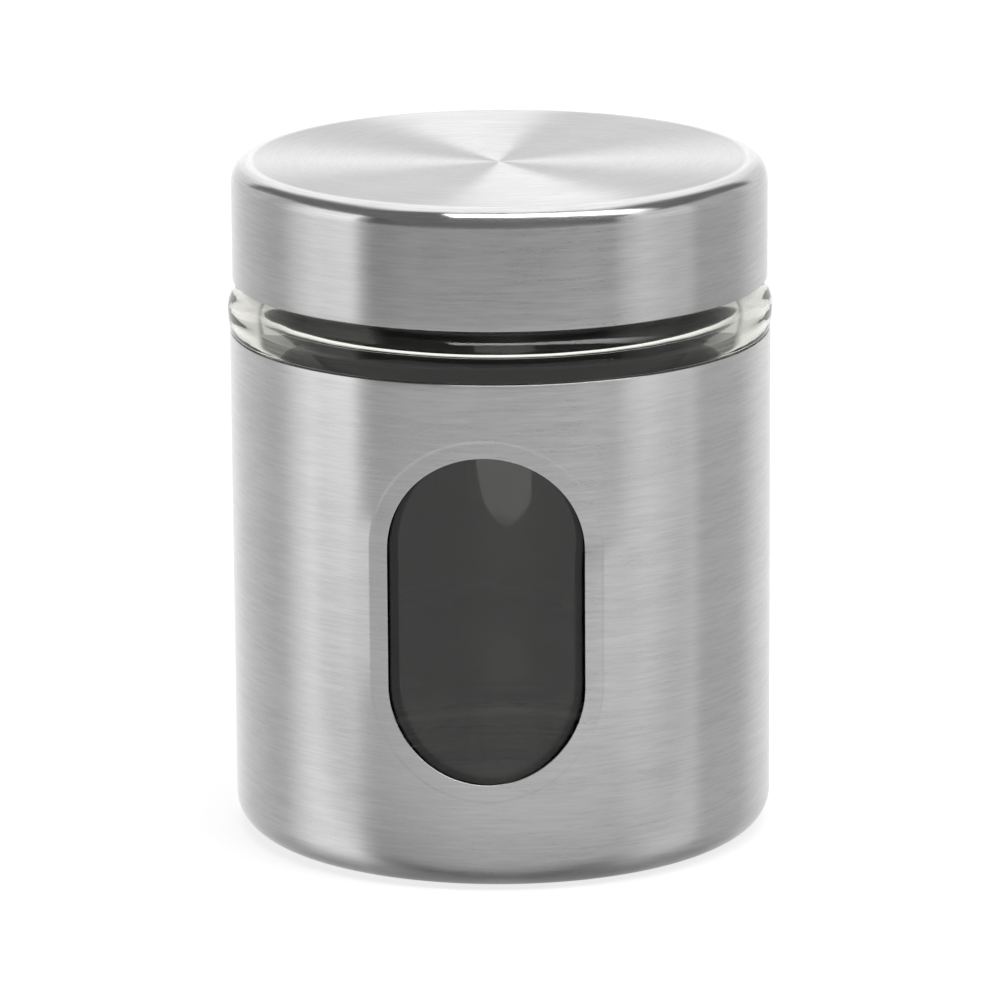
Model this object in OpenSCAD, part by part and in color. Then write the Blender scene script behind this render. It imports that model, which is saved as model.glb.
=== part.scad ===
// Kitchen canister: a glass jar in a brushed steel sleeve with an oval window, under a steel screw lid.
// Millimetres. The origin is the centre of the base, +Z is up, and the window faces -Y.

/* [Sleeve] */
// Outer diameter of the steel sleeve
sleeve_d = 102; // [96:0.5:110]
// Height of the steel sleeve
sleeve_h = 96.2; // [92:0.1:110]
// Thickness of the steel sheet in the sleeve and the lid
sheet_t = 0.5; // [0.4:0.05:0.6]
// Outer radius of the sleeve's lower corner
corner_r = 6; // [4:0.5:8]

/* [Window] */
// Width of the window, straight across
window_w = 36.4; // [28:0.1:42]
// Height of the window
window_h = 62; // [50:0.5:66]
// Height of the window's centre above the base
window_z = 51.5; // [46:0.5:54]
// Width of the pressed band round the window
band_w = 3.3; // [2:0.1:4.5]
// Depth of the pressed band
band_depth = 0.15; // [0.05:0.05:0.2]

/* [Jar] */
// Thickness of the glass wall
glass_t = 3.2; // [2.8:0.1:3.6]
// Thickness of the glass base
glass_base = 7.3; // [5:0.1:9]
// Height of the glass bead that shows between sleeve and lid
glass_gap = 9.8; // [9.6:0.1:11]

/* [Lid] */
// Height of the lid
lid_h = 22.5; // [21:0.1:26]
// How far the lid's side stands in from the sleeve's side
lid_inset = 0.6; // [0.4:0.1:1]
// Outer radius of the lid's top edge
lid_edge_r = 3.6; // [2.5:0.1:4.5]

/* [Thread] */
// Number of thread starts, and of lugs in the lid
thread_starts = 4; // [4:1:5]
// How far one full turn lifts the lid
thread_lead = 20; // [19:0.5:24]

/* [Hidden] */
$fn = 128;

// Clearance of a pressed-in piece, and the overlap that makes a clean cut or joint
snug = 0.1;
cut = 1;

// Sleeve: wall, and a floor stamped upwards so that it stands on a ring
sleeve_r = sleeve_d / 2;
recess_r = sleeve_r - 15;
recess_h = 1;
window_depth = 12;

// Dabs of adhesive on the standing ring, between the sleeve's floor and the jar
dab_count = 4;
dab_r = 3.6;
dab_t = 1.2;
dab_ring_r = (recess_r + sheet_t + sleeve_r - corner_r) / 2;

// Jar body, inside the sleeve
jar_gap = 0.3;
jar_r = sleeve_r - sheet_t - jar_gap;
jar_z = sheet_t + dab_t;
heel_r = 7;
cavity_r = jar_r - glass_t;
cavity_heel_r = 5;
punt_r = 33;
punt_h = 1;

// Bead: a small radius above its widest line, a large one below it
bead_r = sleeve_r + 0.35;
bead_z = sleeve_h + 4.2;
bead_lip = 0.2;
shoulder_r = 4.9;
flank_r = 16;
shoulder_z = bead_z + shoulder_r;

// Lid: the shell's walls and its turned-in lower lip
lid_z = sleeve_h + glass_gap;
lid_top = lid_z + lid_h;
lid_r = sleeve_r - lid_inset;
lip_w = 1.5;

// Lid insert: a plastic cup held between the shell's top and its lip
insert_r = lid_r - sheet_t - snug;
insert_z = lid_z + sheet_t + snug;
insert_top = lid_top - sheet_t - snug;
insert_wall = 1.9;
insert_plate = 1.8;
insert_bore = insert_r - insert_wall;
seal_top = insert_top - insert_plate;

// Jar neck and mouth, under the insert and the seal
seal_t = 1.6;
seal_w = 4;
neck_top = seal_top - seal_t;
neck_r = insert_bore - 2;
neck_wall = 3;
mouth_r = neck_r - neck_wall;
mouth_edge_r = 1.2;
cavity_top = shoulder_z - glass_t;
cavity_top_r = 4.5;

// Seal: bears on the jar's rim, and a rib in the insert stands inside it
seal_inner_r = mouth_r - 0.3;
rib_w = 1.4;
rib_h = 1.2;

// Thread: ridges on the neck and lugs in the insert, each a short tilted arc close to a true helix
ridge_span = 60;
ridge_z = neck_top - 7.5;
ridge_crest_r = neck_r + 1.5;
lug_span = 22;
lug_crest_r = neck_r + 0.3;
lug_turn = -12;
lug_play = 0.2;
lug_z = ridge_z + thread_lead * (lug_turn / 360 - 0.5 / thread_starts) + lug_play;
root_half = 1.3;
crest_half = 0.7;
root_depth = 0.4;

// A rounded end of a turned block: a strip and a disc at radius r, on one side of height z
module turned_edge(r, z, edge_r, side) {
    translate([0, side > 0 ? z : z - edge_r]) square([r - edge_r, edge_r]);
    translate([r - edge_r, z]) circle(edge_r);
}

// Half outline of a turned block from z0 to z1, with its lower and upper edges rounded
module turned_block(r, z0, z1, low_r, high_r) {
    translate([0, z0 + low_r]) square([r, z1 - z0 - low_r - high_r]);
    if (low_r > 0) turned_edge(r, z0 + low_r, low_r, -1);
    if (high_r > 0) turned_edge(r, z1 - high_r, high_r, 1);
}

// An upright prism with round ends that cuts the front wall
module front_oval(w, h) {
    translate([0, -sleeve_r + window_depth, window_z]) rotate([90, 0, 0])
        linear_extrude(window_depth + cut) {
            square([w, h - w], center = true);
            for (side = [-1, 1]) translate([0, side * (h - w) / 2]) circle(d = w);
        }
}

// A raised arc on a cylinder, rising to the left like a right-hand thread
module thread_arc(root_r, crest_r, span, turn, z) {
    tilt = atan(thread_lead / (PI * (root_r + crest_r)));
    translate([0, 0, z]) rotate([0, 0, turn]) rotate([tilt, 0, 0]) rotate([0, 0, -span / 2])
        rotate_extrude(angle = span)
            polygon([[root_r, -root_half], [crest_r, -crest_half], [crest_r, crest_half], [root_r, root_half]]);
}

// The same arc once for each thread start
module thread_arcs(root_r, crest_r, span, turn, z) {
    for (i = [0 : thread_starts - 1])
        thread_arc(root_r, crest_r, span, turn + i * 360 / thread_starts, z);
}

// Half outline of the bead: the small shoulder arc above, the large flank arc below
module bead_outline() {
    translate([0, bead_z]) square([bead_r - shoulder_r, shoulder_r]);
    intersection() {
        translate([bead_r - shoulder_r, bead_z]) circle(shoulder_r);
        translate([0, bead_z]) square([bead_r + cut, shoulder_r + cut]);
    }
    intersection() {
        translate([bead_r - flank_r, bead_z]) circle(flank_r);
        translate([0, sleeve_h + bead_lip]) square([bead_r + cut, bead_z - sleeve_h - bead_lip]);
    }
    translate([0, sleeve_h + bead_lip]) square([bead_r - flank_r, bead_z - sleeve_h - bead_lip]);
}

// Half outline of the neck, with the rim's outer and inner edges rounded
module neck_outline() {
    difference() {
        turned_block(neck_r, cavity_top, neck_top, 0, mouth_edge_r);
        translate([0, cavity_top - cut]) square([mouth_r, neck_top - cavity_top + 2 * cut]);
        translate([0, neck_top - mouth_edge_r]) square([mouth_r + mouth_edge_r, mouth_edge_r + cut]);
    }
    translate([mouth_r + mouth_edge_r, neck_top - mouth_edge_r]) circle(mouth_edge_r);
}

// Half outline of the hollow below the neck, and of the dished underside
module jar_hollows() {
    turned_block(cavity_r, jar_z + glass_base, cavity_top, cavity_heel_r, cavity_top_r);
    translate([0, cavity_top - cavity_top_r]) square([mouth_r, 2 * cavity_top_r]);
    polygon([[0, jar_z - cut], [punt_r, jar_z - cut], [punt_r, jar_z],
             [punt_r - 3 * punt_h, jar_z + punt_h], [0, jar_z + punt_h]]);
}

module glass_jar() {
    color([0.82, 0.9, 0.85, 0.45]) union() {
        rotate_extrude() {
            difference() {
                union() {
                    turned_block(jar_r, jar_z, bead_z, heel_r, 0);
                    bead_outline();
                }
                jar_hollows();
            }
            neck_outline();
        }
        thread_arcs(neck_r - root_depth, ridge_crest_r, ridge_span, 0, ridge_z);
    }
}

module steel_sleeve() {
    color("silver") difference() {
        rotate_extrude() difference() {
            union() {
                difference() {
                    turned_block(sleeve_r, 0, sleeve_h, corner_r, 0);
                    turned_block(sleeve_r - sheet_t, sheet_t, sleeve_h + cut, corner_r - sheet_t, 0);
                }
                square([recess_r + sheet_t, recess_h + sheet_t]);
            }
            translate([0, -cut]) square([recess_r, recess_h + cut]);
        }
        front_oval(window_w, window_h);
        intersection() {
            front_oval(window_w + 2 * band_w, window_h + 2 * band_w);
            rotate_extrude() translate([sleeve_r - band_depth, 0]) square([cut, sleeve_h]);
        }
    }
}

module base_adhesive() {
    color("ivory") for (i = [0 : dab_count - 1])
        rotate([0, 0, (i + 0.5) * 360 / dab_count]) translate([dab_ring_r, 0, sheet_t])
            cylinder(r = dab_r, h = dab_t);
}

module lid_shell() {
    color("gainsboro") rotate_extrude() {
        difference() {
            turned_block(lid_r, lid_z, lid_top, 0, lid_edge_r);
            turned_block(lid_r - sheet_t, lid_z - cut, lid_top - sheet_t, 0, lid_edge_r - sheet_t);
        }
        translate([lid_r - lip_w, lid_z]) square([lip_w, sheet_t]);
    }
}

module lid_insert() {
    color("dimgray") union() {
        rotate_extrude() {
            difference() {
                turned_block(insert_r, insert_z, insert_top, 0, lid_edge_r - sheet_t);
                translate([0, insert_z - cut]) square([insert_bore, seal_top - insert_z + cut]);
            }
            translate([seal_inner_r - rib_w - snug, seal_top - rib_h])
                square([rib_w, rib_h + insert_plate / 2]);
        }
        thread_arcs(insert_bore + root_depth, lug_crest_r, lug_span, lug_turn, lug_z);
    }
}

module lid_seal() {
    color("gainsboro") rotate_extrude() translate([seal_inner_r, neck_top]) square([seal_w, seal_t]);
}

glass_jar();
steel_sleeve();
base_adhesive();
lid_shell();
lid_insert();
lid_seal();
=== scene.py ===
"""Looks for the steel-sleeved glass canister: brushed steel, clear glass, plastic liner and seal.

Every piece is a body of revolution about the canister's upright axis, so its outline is given as
(radius, height) points in metres, with arcs where the real piece is round.
"""

import math

import bmesh
import bpy
import numpy as np
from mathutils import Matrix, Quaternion, Vector


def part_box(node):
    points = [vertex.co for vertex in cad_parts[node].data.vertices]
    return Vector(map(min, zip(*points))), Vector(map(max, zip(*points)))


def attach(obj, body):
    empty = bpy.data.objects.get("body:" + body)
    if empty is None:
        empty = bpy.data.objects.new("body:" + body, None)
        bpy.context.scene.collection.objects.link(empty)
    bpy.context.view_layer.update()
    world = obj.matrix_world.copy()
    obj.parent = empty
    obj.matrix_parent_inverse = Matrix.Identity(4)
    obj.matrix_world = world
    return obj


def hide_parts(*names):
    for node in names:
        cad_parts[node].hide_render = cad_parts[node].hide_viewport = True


MM = 0.001
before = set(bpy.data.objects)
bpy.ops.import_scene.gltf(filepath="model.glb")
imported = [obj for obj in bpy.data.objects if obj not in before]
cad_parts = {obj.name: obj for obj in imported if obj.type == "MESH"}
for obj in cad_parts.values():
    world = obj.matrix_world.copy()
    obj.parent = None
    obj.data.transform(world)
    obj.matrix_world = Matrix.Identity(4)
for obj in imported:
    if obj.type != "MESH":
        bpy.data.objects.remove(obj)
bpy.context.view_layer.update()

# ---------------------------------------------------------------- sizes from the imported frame
sleeve_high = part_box("steel_sleeve")[1]
jar_low, jar_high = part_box("glass_jar")
shell_low, shell_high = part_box("lid_shell")
insert_low, insert_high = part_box("lid_insert")
seal_low, seal_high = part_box("lid_seal")
dab_low, dab_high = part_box("base_adhesive")

SLEEVE_R = sleeve_high.x
SLEEVE_TOP = sleeve_high.z
BEAD_R = jar_high.x
JAR_Z = jar_low.z
NECK_TOP = jar_high.z
LID_R = shell_high.x
LID_Z = shell_low.z
LID_TOP = shell_high.z
INSERT_R = insert_high.x
SEAL_R = seal_high.x

# ---------------------------------------------------------------- sizes that the design fixes
SHEET = 0.5 * MM
CORNER_R = 6 * MM
RECESS_R = SLEEVE_R - 15 * MM
RECESS_H = 1 * MM

WINDOW_HALF_W = 18.2 * MM
WINDOW_HALF_H = 31 * MM
WINDOW_Z = 51.5 * MM
BAND_W = 3.3 * MM

JAR_R = SLEEVE_R - SHEET - 0.3 * MM
CAVITY_R = JAR_R - 3.2 * MM
FLOOR_Z = JAR_Z + 7.3 * MM
BEAD_Z = SLEEVE_TOP + 4.2 * MM
SHOULDER_R = 4.9 * MM
FLANK_R = 16 * MM
SHOULDER_Z = BEAD_Z + SHOULDER_R
NECK_R = INSERT_R - 3.9 * MM
MOUTH_R = NECK_R - 3 * MM
THROAT_Z = 103 * MM
THROAT_R = 5 * MM
WAIST_R = 13 * MM
RIDGE_Z = NECK_TOP - 7.5 * MM
RIDGE_H = 1.5 * MM
THREAD_LEAD = 20 * MM
THREAD_TOP = 0.6 * MM
THREAD_ROOT = 1.3 * MM
STARTS = 4

DISH = 0.9 * MM
INSERT_BORE = INSERT_R - 1.9 * MM
SEAL_TOP = seal_high.z
LUG_H = INSERT_BORE - NECK_R - 0.3 * MM
LUG_TURN = math.radians(-12)
LUG_Z = RIDGE_Z + THREAD_LEAD * (LUG_TURN / math.tau - 0.5 / STARTS) + 0.2 * MM

CAMERA_AZIMUTH = math.radians(3.5)


# ---------------------------------------------------------------- mesh building
def arc(r, z, radius, start, end, steps=10):
    """Points on a circle's arc about (r, z), from start to end in degrees, 0 pointing outwards, 90 up."""
    angles = np.radians(np.linspace(start, end, steps + 1))
    return [(r + radius * math.cos(a), z + radius * math.sin(a)) for a in angles]


def line(start, end, step):
    """Evenly spaced points from start to end, the ends included."""
    count = max(1, round(math.dist(start, end) / step))
    first, way = np.array(start), np.array(end) - np.array(start)
    return [tuple(first + way * i / count) for i in range(count + 1)]


def clean(outline, gap=1e-7):
    """The outline without points that repeat the one before."""
    kept = [outline[0]]
    for point in outline[1:]:
        if math.dist(point, kept[-1]) > gap:
            kept.append(point)
    return kept


def finish_mesh(name, verts, faces, sharp_deg=40):
    """A closed, smooth-shaded object with its normals outwards."""
    mesh = bpy.data.meshes.new(name)
    mesh.from_pydata([tuple(v) for v in verts], [], faces)
    mesh.validate()
    bm = bmesh.new()
    bm.from_mesh(mesh)
    bmesh.ops.recalc_face_normals(bm, faces=bm.faces)
    bm.to_mesh(mesh)
    bm.free()
    for polygon in mesh.polygons:
        polygon.use_smooth = True
    mesh.set_sharp_from_angle(angle=math.radians(sharp_deg))
    obj = bpy.data.objects.new(name, mesh)
    bpy.context.scene.collection.objects.link(obj)
    return obj


def lathe_mesh(outline, segments, shift=None):
    """Vertices and faces of the outline turned about the axis. shift(angle, r, z) moves a point's radius."""
    outline = clean(outline)
    ring = math.dist(outline[0], outline[-1]) < 1e-7
    if ring:
        outline = outline[:-1]
    angles = np.arange(segments) * math.tau / segments
    verts, rows, faces = [], [], []
    for r, z in outline:
        if r < 1e-7:
            rows.append([len(verts)] * segments)
            verts.append((0, 0, z))
            continue
        rows.append(list(range(len(verts), len(verts) + segments)))
        for a in angles:
            radius = shift(a, r, z) if shift else r
            verts.append((radius * math.cos(a), radius * math.sin(a), z))
    pairs = list(zip(rows, rows[1:]))
    if ring:
        pairs.append((rows[-1], rows[0]))
    for low, high in pairs:
        for i in range(segments):
            j = (i + 1) % segments
            corners = [low[i], low[j], high[j], high[i]]
            face = list(dict.fromkeys(corners))
            if len(face) > 2:
                faces.append(face)
    return verts, faces


def lathe(name, outline, segments=256, shift=None, sharp_deg=40):
    verts, faces = lathe_mesh(outline, segments, shift)
    return finish_mesh(name, verts, faces, sharp_deg)


def smoothstep(low, high, value):
    t = min(1.0, max(0.0, (value - low) / (high - low)))
    return t * t * (3 - 2 * t)


def thread_height(angle, z, centre_z, centre_angle, span, half_top, half_root):
    """How far a moulded thread stands up at this point: 0 to 1, rounded, one arc per start."""
    pitch_angle = math.tau / STARTS
    turn = (angle - centre_angle + pitch_angle / 2) % pitch_angle - pitch_angle / 2
    helix_z = centre_z + THREAD_LEAD * turn / math.tau
    across = 1 - smoothstep(half_top, half_root, abs(z - helix_z))
    along = 1 - smoothstep(span / 2 - math.radians(4), span / 2, abs(turn))
    return across * along


# ---------------------------------------------------------------- the glass jar
def jar_outline():
    """Underside, heel, wall, bead, neck and rim, then the throat, the waist and the inner floor."""
    heel = 7 * MM
    inner_heel = 5 * MM
    rim = 1.2 * MM
    punt_r = 33 * MM
    step_r = BEAD_R - FLANK_R + math.sqrt(FLANK_R**2 - (BEAD_Z - SLEEVE_TOP - 0.5 * MM) ** 2)
    flank_start = math.degrees(math.asin((SLEEVE_TOP + 0.5 * MM - BEAD_Z) / FLANK_R))
    neck_fillet = 0.4 * MM
    points = [(0, JAR_Z + 1 * MM)]
    points += arc(punt_r - 3 * MM, JAR_Z + 0.5 * MM, 0.5 * MM, 90, 45, 3)
    points += arc(punt_r + 0.6 * MM, JAR_Z + 0.6 * MM, 0.6 * MM, 225, 270, 3)
    points += arc(JAR_R - heel, JAR_Z + heel, heel, -90, 0, 16)
    points += line((JAR_R, JAR_Z + heel), (JAR_R, SLEEVE_TOP - 0.6 * MM), 2 * MM)
    points += arc(JAR_R + 0.3 * MM, SLEEVE_TOP - 0.2 * MM, 0.3 * MM, 180, 100, 4)
    points += [(step_r - 0.12 * MM, SLEEVE_TOP + 0.2 * MM)]
    points += arc(BEAD_R - FLANK_R, BEAD_Z, FLANK_R, flank_start, 0, 14)
    points += arc(BEAD_R - SHOULDER_R, BEAD_Z, SHOULDER_R, 0, 88, 26)
    points += arc(NECK_R + neck_fillet, SHOULDER_Z + neck_fillet, neck_fillet, 260, 180, 5)
    points += line((NECK_R, SHOULDER_Z + neck_fillet), (NECK_R, NECK_TOP - rim), 0.25 * MM)
    points += arc(NECK_R - rim, NECK_TOP - rim, rim, 0, 90, 8)
    points += arc(MOUTH_R + rim, NECK_TOP - rim, rim, 90, 180, 8)
    turn = math.degrees(math.acos(1 - (CAVITY_R - MOUTH_R) / (THROAT_R + WAIST_R)))
    drop = (THROAT_R + WAIST_R) * math.sin(math.radians(turn))
    points += line((MOUTH_R, NECK_TOP - rim), (MOUTH_R, THROAT_Z), 1 * MM)
    points += arc(MOUTH_R + THROAT_R, THROAT_Z, THROAT_R, 180, 180 + turn, 12)
    points += arc(CAVITY_R - WAIST_R, THROAT_Z - drop, WAIST_R, turn, 0, 20)
    points += line((CAVITY_R, THROAT_Z - drop), (CAVITY_R, FLOOR_Z + inner_heel), 2 * MM)
    points += arc(CAVITY_R - inner_heel, FLOOR_Z + inner_heel, inner_heel, 0, -90, 14)
    points += [(0, FLOOR_Z)]
    return points


def jar_shift(angle, r, z):
    """Adds the thread ridges to the outside of the neck."""
    if abs(r - NECK_R) > 0.01 * MM or z < SHOULDER_Z + 1 * MM or z > NECK_TOP - 1.3 * MM:
        return r
    return r + RIDGE_H * thread_height(angle, z, RIDGE_Z, 0, math.radians(60), THREAD_TOP, THREAD_ROOT)


jar = lathe("glass_jar_blown", jar_outline(), 384, jar_shift, sharp_deg=60)


# ---------------------------------------------------------------- the steel sleeve and its window
def window_distance(x, z):
    """Distance outwards from the window's edge, and the outward direction."""
    straight = WINDOW_HALF_H - WINDOW_HALF_W
    dz = z - WINDOW_Z
    rest = dz - min(straight, max(-straight, dz))
    length = math.hypot(x, rest)
    return length - WINDOW_HALF_W, (x / length, rest / length)


# Beside the window: (slope of the sheet, slope of the band, reach, lowest height, highest height)
LEFT_SIDE = (0.065, -0.01, 6.4 * MM, 32 * MM, 74 * MM)
RIGHT_SIDE = (0.14, 0.10, 8.6 * MM, 20 * MM, 68 * MM)
WINDOW_REACH = 8.6 * MM
CREASE = 0.05 * MM
# Where that fades out: over its lower and upper ends, and towards the middle of the window
FADE_LOW = 14 * MM
FADE_HIGH = 7 * MM
FADE_ACROSS = (9 * MM, 16 * MM)


def sheet_rise(x, z):
    """How far the sheet stands out: it stays flatter beside the hole, and the band is pressed in."""
    away, _ = window_distance(x, z)
    if away > WINDOW_REACH:
        return 0.0
    side_slope, band_slope, side_reach, low, high = RIGHT_SIDE if x > 0 else LEFT_SIDE
    beside = smoothstep(low, low + FADE_LOW, z) * (1 - smoothstep(high - FADE_HIGH, high, z))
    beside *= smoothstep(*FADE_ACROSS, abs(x))
    outer = max(0.0, side_reach - max(away, BAND_W))
    rise = side_slope * outer**2 / (2 * (side_reach - BAND_W))
    rise += band_slope * max(0.0, BAND_W - max(away, 0))
    crease = CREASE * (1 - smoothstep(BAND_W - 0.35 * MM, BAND_W + 0.15 * MM, away))
    return rise * beside - crease


def sleeve_outline(walls_z, edge):
    """The sheet's outline, and the numbers of its first outer and first inner wall points."""
    inner_r = SLEEVE_R - SHEET
    outer_wall = [(SLEEVE_R, z) for z in walls_z]
    inner_wall = [(inner_r, z) for z in walls_z]
    bottom_out = [(0, RECESS_H)]
    bottom_out += arc(RECESS_R - 0.5 * MM, RECESS_H - 0.5 * MM, 0.5 * MM, 90, 30, 4)
    bottom_out += arc(RECESS_R + 0.9 * MM, 0.5 * MM, 0.5 * MM, 210, 270, 4)
    bottom_out += arc(SLEEVE_R - CORNER_R, CORNER_R, CORNER_R, -90, 0, 18)[:-1]
    top = arc(SLEEVE_R - edge, walls_z[-1], edge, 0, 90, 4)[1:]
    top += arc(inner_r + edge, walls_z[-1], edge, 90, 180, 4)[:-1]
    inside_r = CORNER_R - SHEET
    bottom_in = arc(inner_r - inside_r, SHEET + inside_r, inside_r, 0, -90, 14)[1:]
    bottom_in += arc(RECESS_R + 1.2 * MM, SHEET + 0.8 * MM, 0.8 * MM, 270, 225, 3)
    bottom_in += arc(RECESS_R - 0.2 * MM, RECESS_H + SHEET - 0.5 * MM, 0.5 * MM, 30, 90, 3)
    bottom_in += [(0, RECESS_H + SHEET)]
    outline = bottom_out + outer_wall + top + inner_wall[::-1] + bottom_in
    first_outer = len(bottom_out)
    first_inner = first_outer + len(outer_wall) + len(top)
    return outline, first_outer, first_inner


def window_rings():
    """(share, offset, depth) of each ring from the opened rectangle, over the window's lip, and back."""
    rounding = 0.12 * MM
    offsets = np.concatenate([
        np.linspace(WINDOW_REACH, BAND_W + 0.4 * MM, 18)[1:],
        np.linspace(BAND_W + 0.3 * MM, BAND_W - 0.5 * MM, 9),
        np.linspace(BAND_W - 0.7 * MM, 0.2 * MM, 8),
    ])
    front = [(share, WINDOW_REACH, 0) for share in (0.8, 0.6, 0.4, 0.2, 0)]
    front += [(0, offset, 0) for offset in offsets]
    turns = np.radians([0, 25, 50, 70, 90])
    lip = [(0, rounding * (1 - math.sin(a)), rounding * (1 - math.cos(a))) for a in turns]
    back_lip = [(0, offset, SHEET - depth) for _, offset, depth in reversed(lip)]
    back = [(share, offset, SHEET) for share, offset, _ in reversed(front)]
    return front + lip + back_lip + back


def sleeve_mesh():
    """The sleeve as one closed mesh: a turned sheet whose wall is opened by rings that follow the window."""
    columns, half_columns = 360, 34
    edge = 0.15 * MM
    walls_z = [z for _, z in line((0, CORNER_R), (0, SLEEVE_TOP - edge), 1 * MM)]
    outline, first_outer, first_inner = sleeve_outline(walls_z, edge)
    last = len(walls_z) - 1

    angles = -math.pi / 2 + (np.arange(columns) - columns // 2) * math.tau / columns
    verts, rows = [], []
    for r, z in outline:
        if r < 1e-7:
            rows.append([len(verts)] * columns)
            verts.append((0, 0, z))
        else:
            rows.append(list(range(len(verts), len(verts) + columns)))
            verts += [(r * math.cos(a), r * math.sin(a), z) for a in angles]

    c0, c1 = columns // 2 - half_columns, columns // 2 + half_columns
    margin = WINDOW_REACH + 1.5 * MM
    k0 = max(i for i, z in enumerate(walls_z) if z < WINDOW_Z - WINDOW_HALF_H - margin)
    k1 = min(i for i, z in enumerate(walls_z) if z > WINDOW_Z + WINDOW_HALF_H + margin)

    def opened(row):
        if first_outer <= row < first_outer + last:
            return k0 <= row - first_outer < k1
        if first_inner <= row < first_inner + last:
            return k0 <= last - 1 - (row - first_inner) < k1
        return False

    faces = []
    for row in range(len(rows) - 1):
        low, high = rows[row], rows[row + 1]
        for i in range(columns):
            if opened(row) and c0 <= i < c1:
                continue
            j = (i + 1) % columns
            face = list(dict.fromkeys([low[i], low[j], high[j], high[i]]))
            if len(face) > 2:
                faces.append(face)

    def border(wall_row):
        """Vertex numbers round the opened rectangle, on the wall whose row k is wall_row(k)."""
        loop = [rows[wall_row(k0)][i] for i in range(c0, c1)]
        loop += [rows[wall_row(k)][c1] for k in range(k0, k1)]
        loop += [rows[wall_row(k1)][i] for i in range(c1, c0, -1)]
        loop += [rows[wall_row(k)][c0] for k in range(k1, k0, -1)]
        return loop

    outer_border = border(lambda k: first_outer + k)
    inner_border = border(lambda k: first_inner + last - k)
    flat = [(verts[v][0], verts[v][2]) for v in outer_border]
    rays = []
    for x, z in flat:
        away, (ux, uz) = window_distance(x, z)
        rays.append((x, z, away, ux, uz))

    def ring_at(share, offset, depth):
        """A ring of points: share 1 is the rectangle, 0 is the curve that lies offset outside the window."""
        ring = []
        for x, z, away, ux, uz in rays:
            step = (away - offset) * (1 - share)
            px, pz = x - ux * step, z - uz * step
            radius = SLEEVE_R - depth + sheet_rise(px, pz)
            ring.append(len(verts))
            verts.append((px, -math.sqrt(radius**2 - px**2), pz))
        return ring

    loops = [outer_border] + [ring_at(*ring) for ring in window_rings()] + [inner_border]
    for one, other in zip(loops, loops[1:]):
        count = len(one)
        for i in range(count):
            j = (i + 1) % count
            faces.append([one[i], one[j], other[j], other[i]])
    return verts, faces


sleeve = finish_mesh("sleeve_steel", *sleeve_mesh(), sharp_deg=50)


# ---------------------------------------------------------------- the lid: steel cap, liner and seal
def dished(r, dish_r):
    """How far the lid's top lies below its rim at radius r."""
    return DISH * (1 - (r / dish_r) ** 2) ** 2


def cap_outline():
    """The drawn cap: a slightly dished top, a rounded edge, a straight side and a lip turned in."""
    edge_r = 3.6 * MM
    inner_r = LID_R - SHEET
    lip = 1.5 * MM
    roll = 0.24 * MM
    dish_r = LID_R - edge_r
    points = [(0, LID_TOP - DISH)]
    for r, _ in line((1 * MM, 0), (dish_r - 0.5 * MM, 0), 2 * MM):
        points += [(r, LID_TOP - dished(r, dish_r))]
    points += arc(LID_R - edge_r, LID_TOP - edge_r, edge_r, 90, 0, 30)
    points += line((LID_R, LID_TOP - edge_r), (LID_R, LID_Z + roll), 1.5 * MM)
    points += arc(LID_R - roll, LID_Z + roll, roll, 0, -90, 6)
    points += arc(LID_R - lip + roll, LID_Z + roll, roll, 270, 90, 8)
    points += [(inner_r - 0.1 * MM, LID_Z + 2 * roll)]
    points += [(inner_r, LID_Z + 2 * roll + 0.1 * MM)]
    points += line((inner_r, LID_Z + SHEET + 0.2 * MM), (inner_r, LID_TOP - edge_r), 2 * MM)
    points += arc(LID_R - edge_r, LID_TOP - edge_r, edge_r - SHEET, 0, 90, 14)
    for r, _ in line((dish_r - 0.5 * MM, 0), (1 * MM, 0), 4 * MM):
        points += [(r, LID_TOP - SHEET - dished(r, dish_r))]
    points += [(0, LID_TOP - SHEET - DISH)]
    return points


def liner_outline():
    """The liner: a plate under the cap's top, a wall inside its side, and a rib that holds the seal."""
    top = insert_high.z
    edge_r = 3.1 * MM
    rib_r, rib_w, rib_h = MOUTH_R - 0.4 * MM, 1.4 * MM, 1.2 * MM
    round_r = 0.3 * MM
    dish_r = INSERT_R - edge_r
    points = [(0, top - DISH)]
    for r, _ in line((1 * MM, 0), (dish_r - 1 * MM, 0), 4 * MM):
        points += [(r, top - dished(r, dish_r))]
    points += arc(INSERT_R - edge_r, top - edge_r, edge_r, 90, 0, 12)
    points += line((INSERT_R, top - edge_r), (INSERT_R, insert_low.z + round_r), 3 * MM)
    points += arc(INSERT_R - round_r, insert_low.z + round_r, round_r, 0, -90, 4)
    points += arc(INSERT_BORE + round_r, insert_low.z + round_r, round_r, 270, 180, 4)
    points += line((INSERT_BORE, insert_low.z + round_r), (INSERT_BORE, SEAL_TOP - round_r), 0.25 * MM)
    points += arc(INSERT_BORE - round_r, SEAL_TOP - round_r, round_r, 0, 90, 4)
    points += [(rib_r + 0.2 * MM, SEAL_TOP)]
    points += [(rib_r, SEAL_TOP - 0.2 * MM)]
    points += arc(rib_r - round_r, SEAL_TOP - rib_h + round_r, round_r, 0, -90, 4)
    points += arc(rib_r - rib_w + round_r, SEAL_TOP - rib_h + round_r, round_r, 270, 180, 4)
    points += [(rib_r - rib_w, SEAL_TOP - 0.2 * MM)]
    points += [(rib_r - rib_w - 0.2 * MM, SEAL_TOP)]
    points += [(0, SEAL_TOP)]
    return points


def liner_shift(angle, r, z):
    """Adds the thread lugs to the inside of the liner."""
    if abs(r - INSERT_BORE) > 0.01 * MM or z > SEAL_TOP - 1 * MM or z < insert_low.z + 1 * MM:
        return r
    return r - LUG_H * thread_height(angle, z, LUG_Z, LUG_TURN, math.radians(22), THREAD_TOP, THREAD_ROOT)


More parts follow.
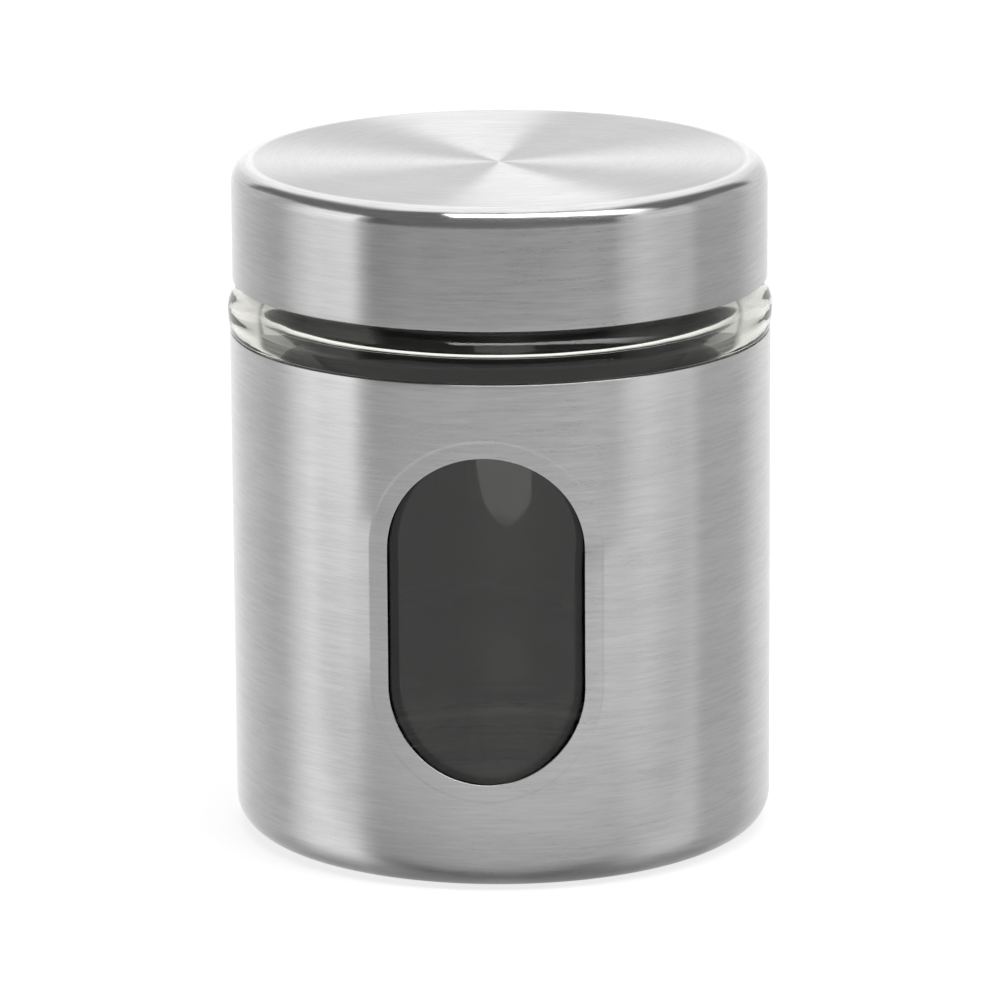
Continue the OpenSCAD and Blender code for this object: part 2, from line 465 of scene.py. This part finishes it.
def seal_outline():
    """A flat ring with rounded edges."""
    inner = MOUTH_R - 0.3 * MM
    low, high = seal_low.z, seal_high.z
    round_r = 0.35 * MM
    points = arc(SEAL_R - round_r, high - round_r, round_r, 90, 0, 5)
    points += arc(SEAL_R - round_r, low + round_r, round_r, 0, -90, 5)
    points += arc(inner + round_r, low + round_r, round_r, 270, 180, 5)
    points += arc(inner + round_r, high - round_r, round_r, 180, 90, 5)
    return points + [points[0]]


cap = lathe("lid_cap_steel", cap_outline(), 384)
liner = lathe("lid_liner_plastic", liner_outline(), 384, liner_shift)
seal = lathe("seal_ring", seal_outline(), 256)


# ---------------------------------------------------------------- the dabs of adhesive
def dab_mesh():
    """Four flattened blobs on the sleeve's standing ring."""
    low, high = dab_low.z, dab_high.z
    radius = 3.6 * MM
    ring_r = (RECESS_R + SHEET + SLEEVE_R - CORNER_R) / 2
    belly = (high - low) / 2
    outline = [(0, low)] + arc(radius - belly, (low + high) / 2, belly, -90, 90, 10) + [(0, high)]
    verts, faces = [], []
    for i in range(4):
        a = (i + 0.5) * math.pi / 2
        blob, blob_faces = lathe_mesh(outline, 40, lambda t, r, z: r * (0.94 - 0.06 * math.sin(2 * t + i)))
        offset = len(verts)
        verts += [(x + ring_r * math.cos(a), y + ring_r * math.sin(a), z) for x, y, z in blob]
        faces += [[v + offset for v in face] for face in blob_faces]
    return verts, faces


dabs = finish_mesh("adhesive_dabs", *dab_mesh())

for piece, body, node, slot_name in (
    (jar, "jar", "glass_jar", "glass"),
    (sleeve, "jar", "steel_sleeve", "sleeve_steel"),
    (dabs, "jar", "base_adhesive", "adhesive"),
    (cap, "lid", "lid_shell", "lid_steel"),
    (liner, "lid", "lid_insert", "liner_plastic"),
    (seal, "sealing_ring", "lid_seal", "seal_rubber"),
):
    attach(piece, body)
    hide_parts(node)


# ---------------------------------------------------------------- materials
# Brushed steel: the streaks' (length, width), the fine ones' share, and how far they shift tone and gloss
SLEEVE_TINT = (0.80, 0.80, 0.80)
LID_TINT = (0.70, 0.70, 0.70)
ANISOTROPY = 0.98
FINE_STREAKS = (9 * MM, 0.55 * MM)
BROAD_STREAKS = (30 * MM, 5 * MM)
FINE_SHARE = 0.72
TONE_SHIFT = 0.07
GLOSS_SHIFT = 0.03
BRUSH_ROUGHNESS = 0.29
# The lid's top and its rolled edge: where the edge starts, in from the side and down from the top
TOP_ROUGHNESS = 0.38
FOLD_ROUGHNESS = 0.12
FOLD_IN = (4.4 * MM, 3.2 * MM)
FOLD_DOWN = (3.6 * MM, 2.6 * MM)
# The sleeve's inner wall: a near-black tint that is painted shade for the canister's dark inside, and the
# roughness of its dull mill finish
INNER_WALL_PAINTED_SHADE = (0.15, 0.147, 0.145)
MILL_ROUGHNESS = 0.42
# Glass: index, colour in depth, and the waves in its surface
GLASS_INDEX = 1.52
GLASS_DEPTH_TINT = (0.87, 0.875, 0.70, 1)
GLASS_DEPTH_DENSITY = 24.0
GLASS_WAVES = 60.0
GLASS_WAVE_HEIGHT = 0.25 * MM


def new_material(name):
    material = bpy.data.materials.new(name)
    material.use_nodes = True
    tree = material.node_tree
    shader = tree.nodes["Principled BSDF"]
    return material, tree, shader


def add_node(tree, kind, inputs=(), **settings):
    """A node of this kind, with its settings and (socket, value or output socket) inputs."""
    made = tree.nodes.new(kind)
    for key, value in settings.items():
        setattr(made, key, value)
    for socket, value in inputs:
        if isinstance(value, bpy.types.NodeSocket):
            tree.links.new(value, made.inputs[socket])
        else:
            made.inputs[socket].default_value = value
    return made


def math_node(tree, operation, a, b=0.0):
    return add_node(tree, "ShaderNodeMath", [(0, a), (1, b)], operation=operation).outputs[0]


def vector_node(tree, operation, a, b):
    return add_node(tree, "ShaderNodeVectorMath", [(0, a), (1, b)], operation=operation).outputs[0]


def ramp(tree, factor, stops):
    """A colour ramp through (position, grey level or colour) stops."""
    made = add_node(tree, "ShaderNodeValToRGB", [(0, factor)])
    elements = made.color_ramp.elements
    while len(elements) < len(stops):
        elements.new(0.5)
    for element, (position, level) in zip(elements, stops):
        element.position = position
        colour = level if isinstance(level, tuple) else (level,) * 3
        element.color = (*colour, 1)
    return made.outputs[0]


def distance_from_axis(tree, place):
    """The flat direction away from the upright axis, and the distance from it."""
    flat = vector_node(tree, "MULTIPLY", place, (1, 1, 0))
    length = add_node(tree, "ShaderNodeVectorMath", [(0, flat)], operation="LENGTH").outputs["Value"]
    return flat, length


def map_range(tree, value, low, high, to_low=0.0, to_high=1.0, soft=False):
    """Maps low..high to to_low..to_high and holds the ends. soft eases in and out."""
    return add_node(
        tree, "ShaderNodeMapRange",
        [("Value", value), ("From Min", low), ("From Max", high), ("To Min", to_low), ("To Max", to_high)],
        interpolation_type="SMOOTHSTEP" if soft else "LINEAR",
    ).outputs[0]


def blended(tree, factor, first, second):
    """first where factor is 0, second where it is 1."""
    return add_node(tree, "ShaderNodeMix", [(0, factor), (2, first), (3, second)]).outputs[0]


def noise(tree, place, scale, detail, roughness):
    sockets = [("Vector", place), ("Scale", scale), ("Detail", detail), ("Roughness", roughness)]
    return add_node(tree, "ShaderNodeTexNoise", sockets).outputs[0]


def bumped(tree, shader, strength, distance, height):
    sockets = [("Strength", strength), ("Distance", distance), ("Height", height)]
    bump = add_node(tree, "ShaderNodeBump", sockets).outputs[0]
    tree.links.new(bump, shader.inputs["Normal"])


def brush_space(tree, radius, along, across):
    """Coordinates that follow circular brushing: long round the axis, short across it, with no seam."""
    place = add_node(tree, "ShaderNodeTexCoord").outputs["Object"]
    height = add_node(tree, "ShaderNodeSeparateXYZ", [(0, place)]).outputs["Z"]
    flat, length = distance_from_axis(tree, place)
    unit = vector_node(tree, "NORMALIZE", flat, (0, 0, 0))
    turned = vector_node(tree, "MULTIPLY", unit, (radius / along,) * 3)
    over = math_node(tree, "MULTIPLY", math_node(tree, "SUBTRACT", length, height), 1 / across)
    lift = add_node(tree, "ShaderNodeCombineXYZ", [("Z", over)]).outputs[0]
    return vector_node(tree, "ADD", turned, lift)


def radius_mask(tree, low, high):
    """0 inside the radius low, 1 outside the radius high."""
    place = add_node(tree, "ShaderNodeTexCoord").outputs["Object"]
    return map_range(tree, distance_from_axis(tree, place)[1], low, high)


def height_above_base(tree):
    place = add_node(tree, "ShaderNodeTexCoord").outputs["Object"]
    return add_node(tree, "ShaderNodeSeparateXYZ", [(0, place)]).outputs["Z"]


def mill_finish_and_painted_shade(tree, radius, colour):
    """The sleeve's inner wall keeps its dull mill finish, and its colour is a near-black tint that is
    painted shade for the canister's dark inside. Gives the colour and the roughness.
    """
    wall = math_node(tree, "GREATER_THAN", height_above_base(tree), CORNER_R)
    outer = radius_mask(tree, radius - 0.8 * SHEET, radius - 0.5 * SHEET)
    inner_wall_mask = math_node(tree, "MULTIPLY", wall, math_node(tree, "SUBTRACT", 1.0, outer))
    # Painted shade: on the inner wall the steel's colour gives way to a near-black tint that stands in for
    # the shade inside the canister.
    colours = [(0, inner_wall_mask), (6, colour), (7, (*INNER_WALL_PAINTED_SHADE, 1))]
    mixed = add_node(tree, "ShaderNodeMix", colours, data_type="RGBA").outputs[2]
    return mixed, blended(tree, inner_wall_mask, BRUSH_ROUGHNESS, MILL_ROUGHNESS)


def rolled_edge(tree, radius, lid_top):
    """The lid's roughness: brushed top and side, and a rolled edge that the press has burnished."""
    outside = radius_mask(tree, radius - FOLD_IN[0], radius - FOLD_IN[1])
    above = map_range(tree, height_above_base(tree), lid_top - FOLD_DOWN[0], lid_top - FOLD_DOWN[1])
    side = blended(tree, above, BRUSH_ROUGHNESS, FOLD_ROUGHNESS)
    return blended(tree, outside, TOP_ROUGHNESS, side)


def brushed_steel(name, radius, tint, lid_top=None):
    """Stainless sheet brushed round the axis: streaks in tone and gloss over a stretched highlight."""
    material, tree, shader = new_material(name)
    fine = noise(tree, brush_space(tree, radius, *FINE_STREAKS), 1.0, 3.0, 0.7)
    broad = noise(tree, brush_space(tree, radius, *BROAD_STREAKS), 1.0, 2.0, 0.5)
    fine_part = math_node(tree, "MULTIPLY", fine, FINE_SHARE)
    broad_part = math_node(tree, "MULTIPLY", broad, 1 - FINE_SHARE)
    blend = math_node(tree, "ADD", fine_part, broad_part)
    dark = tuple(c * (1 - TONE_SHIFT) for c in tint)
    light = tuple(c * (1 + TONE_SHIFT) for c in tint)
    colour = ramp(tree, blend, [(0.40, dark), (0.5, tint), (0.60, light)])
    if lid_top is None:
        # On the sleeve the inner wall's colour is painted shade, a near-black tint.
        colour, level = mill_finish_and_painted_shade(tree, radius, colour)
    else:
        level = rolled_edge(tree, radius, lid_top)
    gloss = math_node(tree, "ADD", map_range(tree, blend, 0.3, 0.7, -GLOSS_SHIFT, GLOSS_SHIFT), level)
    tree.links.new(colour, shader.inputs["Base Color"])
    tree.links.new(gloss, shader.inputs["Roughness"])
    shader.inputs["Metallic"].default_value = 1.0
    shader.inputs["Anisotropic"].default_value = ANISOTROPY
    shader.inputs["Anisotropic Rotation"].default_value = 0.25
    tangent = add_node(tree, "ShaderNodeTangent", direction_type="RADIAL", axis="Z")
    tree.links.new(tangent.outputs[0], shader.inputs["Tangent"])
    bumped(tree, shader, 0.04, 0.02 * MM, broad)
    return material


def clear_glass():
    """Pressed soda-lime glass, faintly green in thick sections, with soft waves in its surface."""
    material, tree, shader = new_material("clear_glass")
    shader.inputs["Base Color"].default_value = (1, 1, 1, 1)
    shader.inputs["Roughness"].default_value = 0.0
    shader.inputs["IOR"].default_value = GLASS_INDEX
    shader.inputs["Transmission Weight"].default_value = 1.0
    place = add_node(tree, "ShaderNodeTexCoord").outputs["Object"]
    waves = noise(tree, place, GLASS_WAVES, 2.0, 0.4)
    bumped(tree, shader, 0.6, GLASS_WAVE_HEIGHT, waves)
    body = add_node(tree, "ShaderNodeVolumeAbsorption")
    body.inputs["Color"].default_value = GLASS_DEPTH_TINT
    body.inputs["Density"].default_value = GLASS_DEPTH_DENSITY
    tree.links.new(body.outputs[0], tree.nodes["Material Output"].inputs["Volume"])
    return material


def moulded(name, tint, roughness, grain, subsurface=0.0):
    """Moulded plastic or rubber with a fine grain and slight colour variation."""
    material, tree, shader = new_material(name)
    place = add_node(tree, "ShaderNodeTexCoord").outputs["Object"]
    speck = noise(tree, place, grain, 4.0, 0.6)
    shade = ramp(tree, speck, [(0.3, tuple(c * 0.94 for c in tint)), (0.7, tint)])
    tree.links.new(shade, shader.inputs["Base Color"])
    gloss = map_range(tree, speck, 0.3, 0.7, roughness - 0.06, roughness + 0.06)
    tree.links.new(gloss, shader.inputs["Roughness"])
    bumped(tree, shader, 0.25, 0.05 * MM, speck)
    shader.inputs["Subsurface Weight"].default_value = subsurface
    shader.inputs["Subsurface Radius"].default_value = (2 * MM, 2 * MM, 1.6 * MM)
    return material


jar.data.materials.append(clear_glass())
sleeve.data.materials.append(brushed_steel("sleeve_brushed_steel", SLEEVE_R, SLEEVE_TINT))
cap.data.materials.append(brushed_steel("lid_brushed_steel", LID_R, LID_TINT, LID_TOP))
liner.data.materials.append(moulded("liner_polypropylene", (0.13, 0.13, 0.128), 0.42, 900.0, 0.0))
seal.data.materials.append(moulded("silicone_seal", (0.72, 0.72, 0.70), 0.55, 1600.0, 0.25))
dabs.data.materials.append(moulded("hot_melt_adhesive", (0.82, 0.76, 0.58), 0.35, 700.0, 0.3))

# ---------------------------------------------------------------- floor
FLOOR_HALF = 4.0
FLOOR_GLOW = 0.75
FLOOR_GLOW_THROUGH_GLASS = 0.22


def flat_panel(name, corners, turn=0.0):
    """A flat piece of the stage through the (x, y, z) corners, turned about the upright axis."""
    c, s = math.cos(turn), math.sin(turn)
    mesh = bpy.data.meshes.new(name)
    mesh.from_pydata([(x * c - y * s, x * s + y * c, z) for x, y, z in corners], [], [(0, 1, 2, 3)])
    panel = bpy.data.objects.new(name, mesh)
    bpy.context.scene.collection.objects.link(panel)
    return panel


def pale_floor():
    """A plain pale floor, dimmer where it is seen through glass, so that the jar's inside stays dark."""
    corners = [(-FLOOR_HALF, -FLOOR_HALF, 0), (FLOOR_HALF, -FLOOR_HALF, 0)]
    corners += [(FLOOR_HALF, FLOOR_HALF, 0), (-FLOOR_HALF, FLOOR_HALF, 0)]
    floor = flat_panel("floor", corners)
    paint, tree, shader = new_material("pale_floor")
    shader.inputs["Base Color"].default_value = (0.4, 0.4, 0.4, 1)
    shader.inputs["Roughness"].default_value = 0.9
    shader.inputs["Specular IOR Level"].default_value = 0.0
    shader.inputs["Emission Color"].default_value = (1, 1, 1, 1)
    through = add_node(tree, "ShaderNodeLightPath").outputs["Is Transmission Ray"]
    glow = blended(tree, through, FLOOR_GLOW, FLOOR_GLOW_THROUGH_GLASS)
    tree.links.new(glow, shader.inputs["Emission Strength"])
    floor.data.materials.append(paint)
    floor.visible_glossy = False


pale_floor()

# ---------------------------------------------------------------- studio light, all round the object
# (azimuth from the camera in degrees, level): a bright box on the left, a dimmer one on the right, and
# the backdrop at 180. Directions are turned to the camera's side: x right, y away from it, z up.
STUDIO_RING = (
    (-180, 1.24), (-160, 0.92), (-142, 0.68), (-114, 0.50), (-105, 0.56), (-100, 0.76), (-88, 1.02),
    (-65, 1.20), (-62, 0.68), (-54, 0.48), (-2, 0.46), (2, 0.52), (50, 0.50), (58, 0.54), (63, 0.75),
    (89, 0.70), (94, 0.48), (122, 0.48), (137, 0.70), (160, 0.86), (180, 1.24),
)
# In front of the object the ring is a dim room: its sides, and (height, share of the ring's level)
FRONT_AZIMUTH = (math.radians(-60), math.radians(5), math.radians(52), math.radians(4))
FRONT_HEIGHTS = ((0.05, 0.3), (0.35, 0.24))
# The ring fades below, and ends above at a dim ceiling, higher up at the sides
RING_FADE = (-0.85, -0.2, 0.35)
RING_TOP = (0.14, 0.20)
SIDE_LIFT = 0.33
SIDES = (0.6, 0.8)
BACKDROP = (0.70, 0.80)
CEILING = 0.17
# A soft sheet of light overhead, behind the object's middle
SHEET_LEVEL = 1.2
SHEET_HEIGHT = (0.24, 0.64)
SHEET_FRONT = (0.05, 0.2)
SHEET_SIDES = (0.28, 0.52)
# A bright box above: (low edge, its softness, high edge, its softness)
TOP_BOX_X = (-0.24, 0.012, 0.66, 0.22)
TOP_BOX_Y = (-0.38, 0.04, -0.10, 0.04)
TOP_BOX_LEVEL = 5.2
# (near edge, far edge, level) of the lit table in front of the object
TABLE_BANDS = ((52 * MM, 66 * MM, 0.36), (66 * MM, 88 * MM, 0.54), (88 * MM, 450 * MM, 0.68))
TABLE_HALF = 330 * MM
TABLE_LIFT = 0.3 * MM


def rising(tree, value, low, high):
    return map_range(tree, value, low, high, soft=True)


def within(tree, value, low, low_soft, high, high_soft):
    """1 between low and high, fading to 0 over each edge's softness."""
    into = map_range(tree, value, low - low_soft, low + low_soft, soft=True)
    out = map_range(tree, value, high - high_soft, high + high_soft, 1.0, 0.0, soft=True)
    return math_node(tree, "MULTIPLY", into, out)


def inverse(tree, value):
    return math_node(tree, "SUBTRACT", 1.0, value)


def ring_light(tree, x, y, z):
    """The level of the ring round the object, in this direction."""
    azimuth = math_node(tree, "ARCTAN2", x, math_node(tree, "MULTIPLY", y, -1.0))
    position = math_node(tree, "ADD", math_node(tree, "DIVIDE", azimuth, math.tau), 0.5)
    ring = ramp(tree, position, [((degrees + 180) / 360, level / 2) for degrees, level in STUDIO_RING])
    ring = math_node(tree, "MULTIPLY", ring, 2.0)
    height = math_node(tree, "MULTIPLY", math_node(tree, "ADD", z, 1.0), 0.5)
    by_height = ramp(tree, height, [((h + 1) / 2, share / 2) for h, share in FRONT_HEIGHTS])
    by_height = math_node(tree, "MULTIPLY", by_height, 2.0)
    shape = blended(tree, within(tree, azimuth, *FRONT_AZIMUTH), 1.0, by_height)
    low, high, least = RING_FADE
    fade = map_range(tree, z, low, high, least, soft=True)
    return math_node(tree, "MULTIPLY", math_node(tree, "MULTIPLY", ring, shape), fade)


def ceiling_and_sheet(tree, ring, x, y, z):
    """The ring, closed above by a dim ceiling, with the sheet of light behind the object's middle."""
    aside = math_node(tree, "ABSOLUTE", x)
    lift = math_node(tree, "MULTIPLY", rising(tree, aside, *SIDES), SIDE_LIFT)
    above = rising(tree, math_node(tree, "SUBTRACT", z, lift), *RING_TOP)
    above = math_node(tree, "MULTIPLY", above, inverse(tree, rising(tree, y, *BACKDROP)))
    overhead = math_node(tree, "MULTIPLY", rising(tree, z, *SHEET_HEIGHT), rising(tree, y, *SHEET_FRONT))
    overhead = math_node(tree, "MULTIPLY", overhead, inverse(tree, rising(tree, aside, *SHEET_SIDES)))
    return blended(tree, overhead, blended(tree, above, ring, CEILING), SHEET_LEVEL)


def studio_world():
    """Studio light by direction. The camera itself sees white, and the box isn't seen through glass."""
    world = bpy.data.worlds.new("studio")
    bpy.context.scene.world = world
    world.use_nodes = True
    tree = world.node_tree
    way = add_node(tree, "ShaderNodeTexCoord").outputs["Generated"]
    turn = [("Vector", way), ("Rotation", (0, 0, -CAMERA_AZIMUTH))]
    turned = add_node(tree, "ShaderNodeMapping", turn, vector_type="VECTOR").outputs[0]
    x, y, z = add_node(tree, "ShaderNodeSeparateXYZ", [(0, turned)]).outputs
    room = ceiling_and_sheet(tree, ring_light(tree, x, y, z), x, y, z)
    path = add_node(tree, "ShaderNodeLightPath").outputs
    box = math_node(tree, "MULTIPLY", within(tree, x, *TOP_BOX_X), within(tree, y, *TOP_BOX_Y))
    box = math_node(tree, "MULTIPLY", box, math_node(tree, "GREATER_THAN", z, 0.0))
    box = math_node(tree, "MULTIPLY", box, inverse(tree, path["Is Transmission Ray"]))
    light = math_node(tree, "ADD", room, math_node(tree, "MULTIPLY", box, TOP_BOX_LEVEL))
    background = tree.nodes["Background"]
    background.inputs["Color"].default_value = (1, 1, 1, 1)
    level = blended(tree, path["Is Camera Ray"], light, 1.0)
    tree.links.new(level, background.inputs["Strength"])


def table_glow(near, far, level):
    """A band of the lit table, seen only in the steel and the glass."""
    corners = [(-TABLE_HALF, -far), (TABLE_HALF, -far), (TABLE_HALF, -near), (-TABLE_HALF, -near)]
    card = flat_panel("table_glow", [(x, y, TABLE_LIFT) for x, y in corners], CAMERA_AZIMUTH)
    paint, _, shader = new_material("table_glow")
    shader.inputs["Base Color"].default_value = (0, 0, 0, 1)
    shader.inputs["Specular IOR Level"].default_value = 0.0
    shader.inputs["Emission Color"].default_value = (1, 1, 1, 1)
    shader.inputs["Emission Strength"].default_value = level
    card.data.materials.append(paint)
    card.visible_camera = False
    card.visible_diffuse = False
    card.visible_transmission = False
    card.visible_shadow = False


studio_world()
for band in TABLE_BANDS:
    table_glow(*band)

# ---------------------------------------------------------------- camera
CAMERA_LENS = 250.3
CAMERA_DISTANCE = 25.9 * SLEEVE_R
CAMERA_ELEVATION = math.radians(14.02)
CAMERA_ROLL = math.radians(-0.38)
AIM_HEIGHT = 62.1 * MM
SIDE_STEP = -0.26 * MM

camera_data = bpy.data.cameras.new("camera")
camera_data.lens = CAMERA_LENS
camera_data.sensor_width = 36.0
camera = bpy.data.objects.new("camera", camera_data)
bpy.context.scene.collection.objects.link(camera)
back = Vector((
    math.sin(CAMERA_AZIMUTH) * math.cos(CAMERA_ELEVATION),
    -math.cos(CAMERA_AZIMUTH) * math.cos(CAMERA_ELEVATION),
    math.sin(CAMERA_ELEVATION),
))
right = Vector((math.cos(CAMERA_AZIMUTH), math.sin(CAMERA_AZIMUTH), 0))
camera.location = Vector((0, 0, AIM_HEIGHT)) + right * SIDE_STEP + back * CAMERA_DISTANCE
camera.rotation_mode = "QUATERNION"
camera.rotation_quaternion = (-back).to_track_quat("-Z", "Y") @ Quaternion((0, 0, 1), CAMERA_ROLL)
bpy.context.scene.camera = camera
bpy.context.scene.view_settings.view_transform = "Standard"
